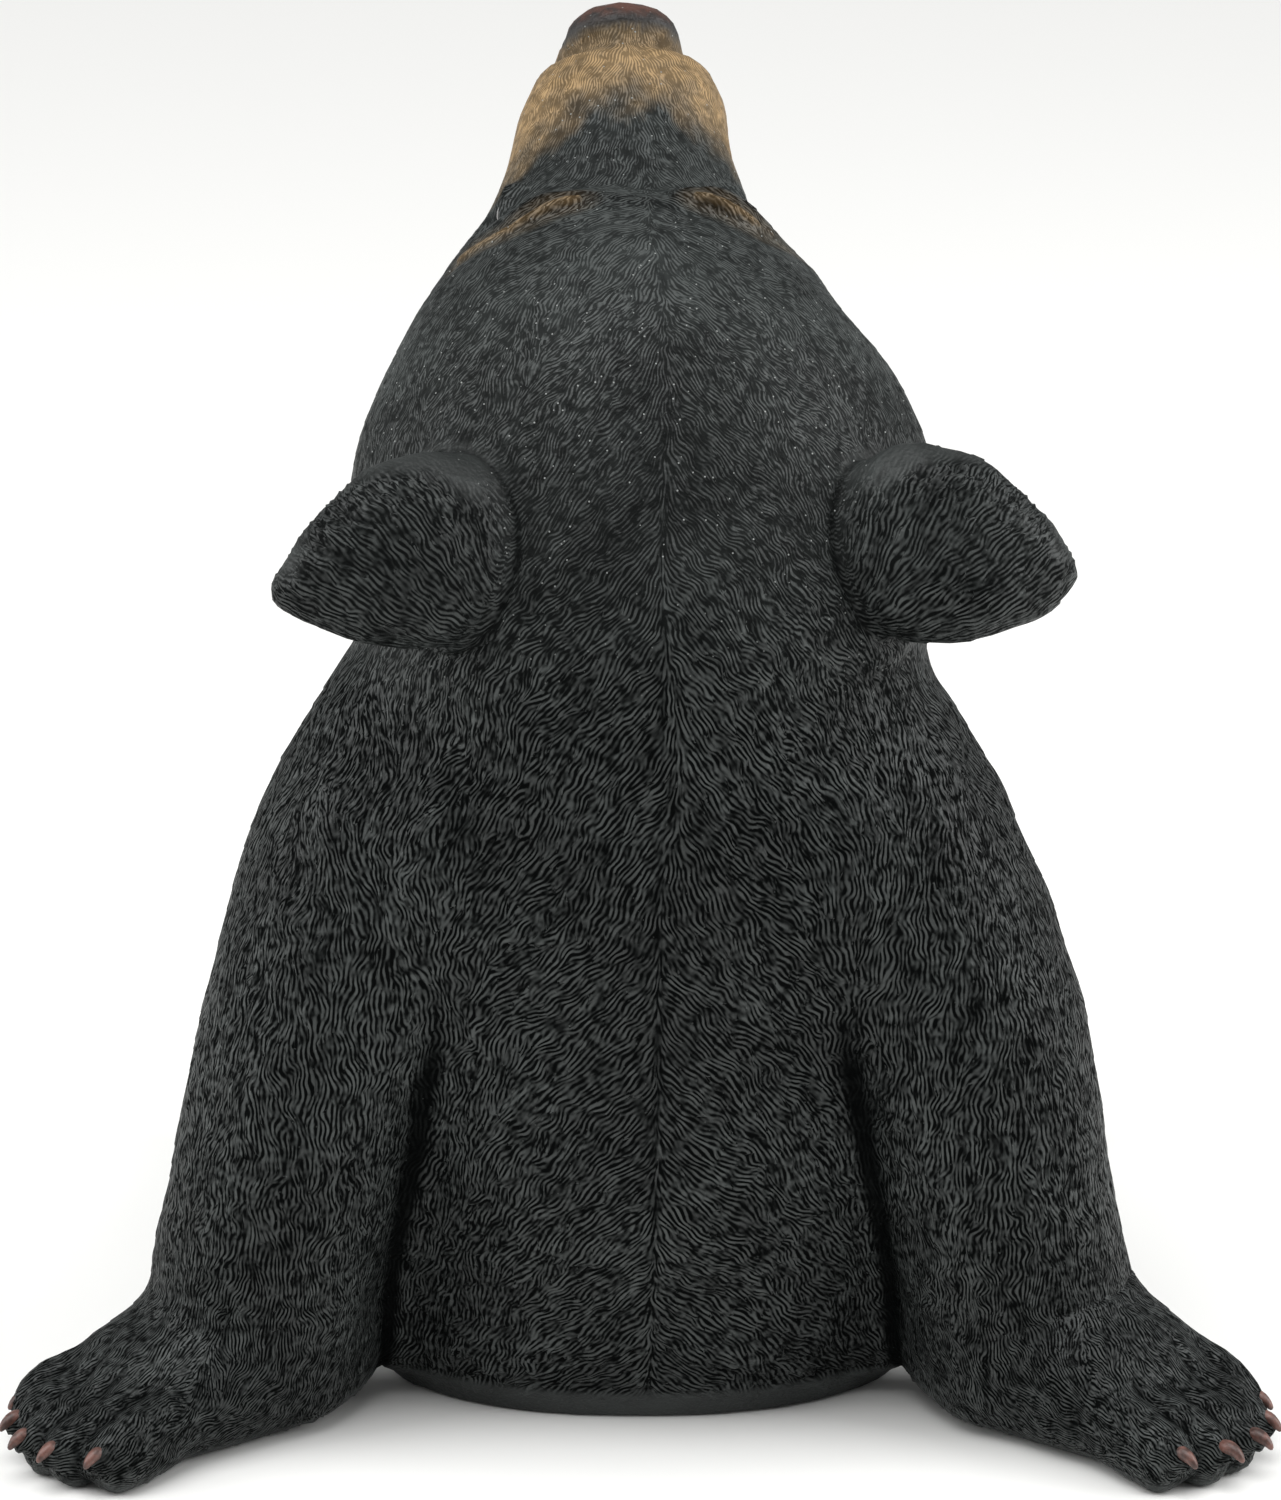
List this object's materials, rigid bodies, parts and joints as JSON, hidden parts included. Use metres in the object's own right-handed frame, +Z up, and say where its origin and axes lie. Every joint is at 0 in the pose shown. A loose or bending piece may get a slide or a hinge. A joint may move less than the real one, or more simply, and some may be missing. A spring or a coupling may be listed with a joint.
{
  "type": "bear cub statue",
  "caption": "Seated black bear cub figure leaning back on its front paws and looking straight up, in painted cast resin with carved fur.",
  "frame": {"origin": "middle of the rump's flat underside, on the ground", "axes": "+Z up; the cub faces -Y, so +X is its left side and its back is towards +Y"},
  "size_m": [0.3062, 0.2711, 0.3281],
  "materials": {
    "painted_resin": "satin paint on cast resin, charcoal black with grey dry-brushed fur"
  },
  "bodies": {
    "root": {"bear_cub": "painted_resin"}
  },
  "joints": []
}
